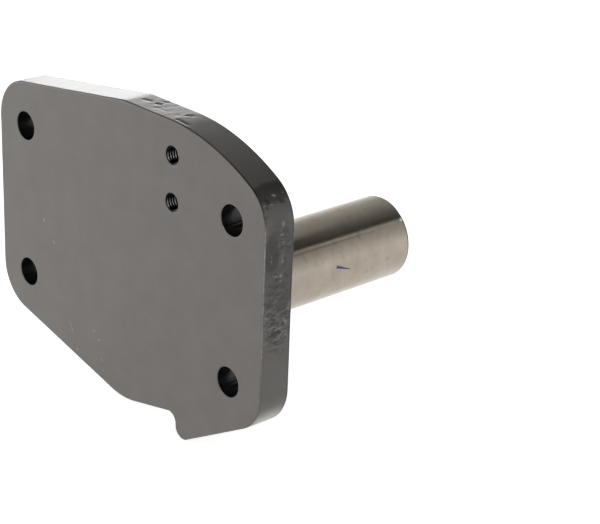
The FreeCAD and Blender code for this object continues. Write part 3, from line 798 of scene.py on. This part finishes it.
# The pen's tick: a short stroke on the right side, broad where it starts and then running out.
tick_start = Vector((108.1, pin_height + 2.75))
tick_end = Vector((116.7, pin_height - 0.45))
tick_run = tick_end - tick_start
tick_width = 0.75
tick_grain = 0.7
tick_place = add_node(steel, "Mapping", place, (0, tick_start.x * MM, tick_start.y * MM),
                      (atan2(tick_run.y, tick_run.x), 0, 0), (MM, MM, MM), vector_type="TEXTURE")
along_tick, off_tick = add_node(steel, "SeparateXYZ", tick_place).outputs[1:]
half_width = add_node(steel, "MapRange", along_tick, 0.0, tick_run.length, tick_width,
                      tick_width / 5)
ragged = add_node(steel, "TexNoise", place, 1 / (tick_grain * MM), 2.0)
ragged = add_node(steel, "Math", ragged, 0.5, 0.75, operation="MULTIPLY_ADD")
half_width = add_node(steel, "Math", half_width, ragged, operation="MULTIPLY")
off_tick = add_node(steel, "Math", off_tick, operation="ABSOLUTE")
beside = add_node(steel, "Math", off_tick, half_width, operation="SUBTRACT")
before = add_node(steel, "Math", along_tick, -1.0, operation="MULTIPLY")
beyond = add_node(steel, "Math", along_tick, tick_run.length, operation="SUBTRACT")
outside = add_node(steel, "Math", before, beyond, operation="MAXIMUM")
outside = add_node(steel, "Math", beside, outside, operation="MAXIMUM")
inked = add_node(steel, "Math", outside, -3.0, 0.5, operation="MULTIPLY_ADD", use_clamp=True)
right_side = add_node(steel, "Math", across, 0.0, operation="GREATER_THAN")
inked = add_node(steel, "Math", inked, right_side, operation="MULTIPLY")
inked = add_node(steel, "Math", inked, 0.92, operation="MULTIPLY")
colour = add_node(steel, "Mix", inked, bare, from_hex("423E72"), data_type="RGBA")

# The free end was faced in the lathe: the tool's feed left one fine spiral round the middle.
feed_pitch = 0.5
ring_depth = 0.01
flat_place = add_node(steel, "VectorMath", place, (1, 0, 1), operation="MULTIPLY")
off_axis = add_node(steel, "VectorMath", flat_place, (0, 0, pin_height * MM),
                    operation="DISTANCE")
past_wall = add_node(steel, "MapRange", along, (pin_end - 0.4) * MM, (pin_end - 0.2) * MM)
feed = add_node(steel, "Math", off_axis, 2 * pi / (feed_pitch * MM), operation="MULTIPLY")
feed = add_node(steel, "Math", feed, operation="SINE")
feed = add_node(steel, "Math", feed, past_wall, operation="MULTIPLY")
bump = add_node(steel, "Bump", Strength=0.1, Distance=ring_depth * MM, Height=rings)
bump = add_node(steel, "Bump", Strength=0.3, Distance=ring_depth * MM, Height=feed, Normal=bump)
roughness = add_node(steel, "Math", past_wall, 0.2, 0.18, operation="MULTIPLY_ADD")
shader = add_node(steel, "BsdfPrincipled", Base_Color=colour, Metallic=1.0, Roughness=roughness,
                  Normal=bump)
add_node(steel, "OutputMaterial", Surface=shader)

# Turned chamfer, left from the roughing tool: painted dark with no sheen, as painted shade, so it
# shows as a thin dark rim.
shaded_chamfer = new_finish("stained_turned_chamfer")
shader = add_node(shaded_chamfer, "BsdfPrincipled", Base_Color=from_hex("4F4A45"), Roughness=0.7,
                  Specular_IOR_Level=0.0)
add_node(shaded_chamfer, "OutputMaterial", Surface=shader)
pin.data.materials.append(steel)
pin.data.materials.append(shaded_chamfer)
chamfer_foot = pin_end - end_chamfer - wall_ease / 2
for face in pin.data.polygons:
    off_centre = hypot(face.center.x / MM, face.center.z / MM - pin_height)
    if face.center.y / MM > chamfer_foot and off_centre > pin_radius - end_chamfer:
        face.material_index = 1
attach(pin, "root")
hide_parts("bearing_pin")

# Floor and studio: a white table, a large soft lamp from the front, three small ones that pick out
# the plate's edge and the pin, and dark ceiling panels that the top edges and the pin show.
bpy.ops.object.select_all(action="DESELECT")
table_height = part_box("flange_plate")[0].z
bpy.ops.mesh.primitive_plane_add(size=6, location=(0, 0, table_height))
floor = bpy.context.object
floor.name = "studio_table"
bpy.ops.object.transform_apply(location=True)


def grey(level):
    return (level, level, level, 1)


# The table lights the part evenly, shows brighter in what is glossy, and brightest to the camera.
even_glow, gloss_glow, camera_glow = 0.42, 0.23, 0.8
table = new_finish("white_table")
seen = add_node(table, "LightPath")
lit = add_node(table, "BsdfDiffuse", Color=grey(0.8))
mirrored = add_node(table, "Math", seen.outputs["Is Glossy Ray"], gloss_glow, even_glow,
                    operation="MULTIPLY_ADD")
glow = add_node(table, "Math", seen.outputs["Is Camera Ray"], camera_glow, operation="MULTIPLY")
glow = add_node(table, "Math", glow, mirrored, operation="MAXIMUM")
glow = add_node(table, "Emission", Strength=glow)
surface = add_node(table, "AddShader", lit, glow)
add_node(table, "OutputMaterial", Surface=surface)
floor.data.materials.append(table)

# The ceiling panels are covered with felt, black or faded from black at one end. Each is its left,
# right, front and back side, and its felt. The camera doesn't see them.
panel_height = 0.55
black_felt = new_finish("black_felt")
shader = add_node(black_felt, "BsdfDiffuse", Color=grey(0.05))
add_node(black_felt, "OutputMaterial", Surface=shader)
faded = []
for dark_end, pale_end, pale in ((0.34, -0.7, 0.6), (0.06, -0.16, 0.65)):
    felt = new_finish("faded_felt")
    place = add_node(felt, "TexCoord").outputs["Object"]
    across = add_node(felt, "SeparateXYZ", place)
    fade = add_node(felt, "MapRange", across, dark_end, pale_end)
    shade = add_node(felt, "Mix", fade, grey(0.03), grey(pale), data_type="RGBA")
    shader = add_node(felt, "BsdfDiffuse", Color=shade)
    add_node(felt, "OutputMaterial", Surface=shader)
    faded.append(felt)
for left, right, front, back, felt in ((-0.42, 0.36, -0.2, 0.56, faded[1]),
                                       (-0.7, 0.36, 0.56, 1.1, faded[0]),
                                       (-0.9, 0.7, -1.2, -0.2, black_felt),
                                       (0.495, 0.545, -0.2, 1.1, black_felt)):
    middle = ((left + right) / 2, (front + back) / 2, panel_height)
    bpy.ops.object.select_all(action="DESELECT")
    bpy.ops.mesh.primitive_plane_add(size=1, location=middle)
    panel = bpy.context.object
    panel.scale = (right - left, back - front, 1)
    bpy.ops.object.transform_apply(location=True, rotation=True, scale=True)
    panel.name = "ceiling_panel"
    panel.data.materials.append(felt)
    panel.visible_camera = False

# The walls are white at the height of the part and darken towards the ceiling. Metal and gloss show
# them so, the camera sees plain white, and the part is lit by an even `ambient`.
studio = bpy.data.worlds.new("studio_walls")
bpy.context.scene.world = studio
studio.use_nodes = True
studio.node_tree.nodes.clear()
ambient = 0.46
ceiling_up, ceiling_level = 0.85, 0.1
seen = add_node(studio, "LightPath")
mirrored = add_node(studio, "Math", seen.outputs["Is Glossy Ray"],
                    seen.outputs["Is Transmission Ray"], operation="MAXIMUM")
sky = add_node(studio, "TexCoord").outputs["Generated"]
up = add_node(studio, "SeparateXYZ", sky).outputs["Z"]
room = add_node(studio, "MapRange", up, 0.0, ceiling_up, 1.0, ceiling_level)
room = add_node(studio, "Math", room, ambient, operation="SUBTRACT")
level = add_node(studio, "Math", mirrored, room, ambient, operation="MULTIPLY_ADD")
level = add_node(studio, "Math", seen.outputs["Is Camera Ray"], level, operation="MAXIMUM")
backdrop = add_node(studio, "Background", Color=(1, 1, 1, 1), Strength=level)
add_node(studio, "OutputWorld", Surface=backdrop)


def hang_lamp(name, at, aim, width, height, power):
    """An area lamp that is aimed at a point and isn't seen itself."""
    bpy.ops.object.light_add(type="AREA", location=at)
    lamp = bpy.context.object
    lamp.name = lamp.data.name = name
    lamp.data.shape = "RECTANGLE"
    lamp.data.size = width
    lamp.data.size_y = height
    lamp.data.energy = power
    lamp.rotation_euler = (Vector(aim) - Vector(at)).to_track_quat("-Z", "Y").to_euler()
    lamp.visible_camera = False
    return lamp


# Each lamp is where it hangs, what it aims at, its width, its height and its power.
lamps = [
    hang_lamp("front_soft_lamp", (-1.0, -1.45, 0.55), (0, 0, 0), 3.4, 1.2, 30),
    hang_lamp("small_far_lamp", (-0.068, 1.34, 0.148), (0.015, 0.155, -0.02), 0.15, 0.15, 1.8),
    hang_lamp("low_back_lamp", (-0.31, 0.235, 0.112), (-0.04, 0, 0.06), 0.17, 0.11, 0.256),
    hang_lamp("overhead_strip_lamp", (0.437, 0.75, 0.54), (0.05, 0.15, 0), 0.02, 0.7, 0.05),
]

# The camera stands where the photograph's did. Its lens was solved in the photograph's pixels.
photo_width = 600
lens_pixels = 1733.176
camera_data = bpy.data.cameras.new("photo_camera")
camera = bpy.data.objects.new("photo_camera", camera_data)
bpy.context.scene.collection.objects.link(camera)
camera.location = (0.53999043, -0.40765754, 0.28504817)
camera.rotation_euler = (radians(66.80005634), radians(-2.24157145), radians(47.53211424))
camera_data.sensor_fit = "HORIZONTAL"
camera_data.sensor_width = 36
camera_data.lens = lens_pixels / photo_width * camera_data.sensor_width
bpy.context.scene.camera = camera
bpy.context.scene.view_settings.view_transform = "Standard"
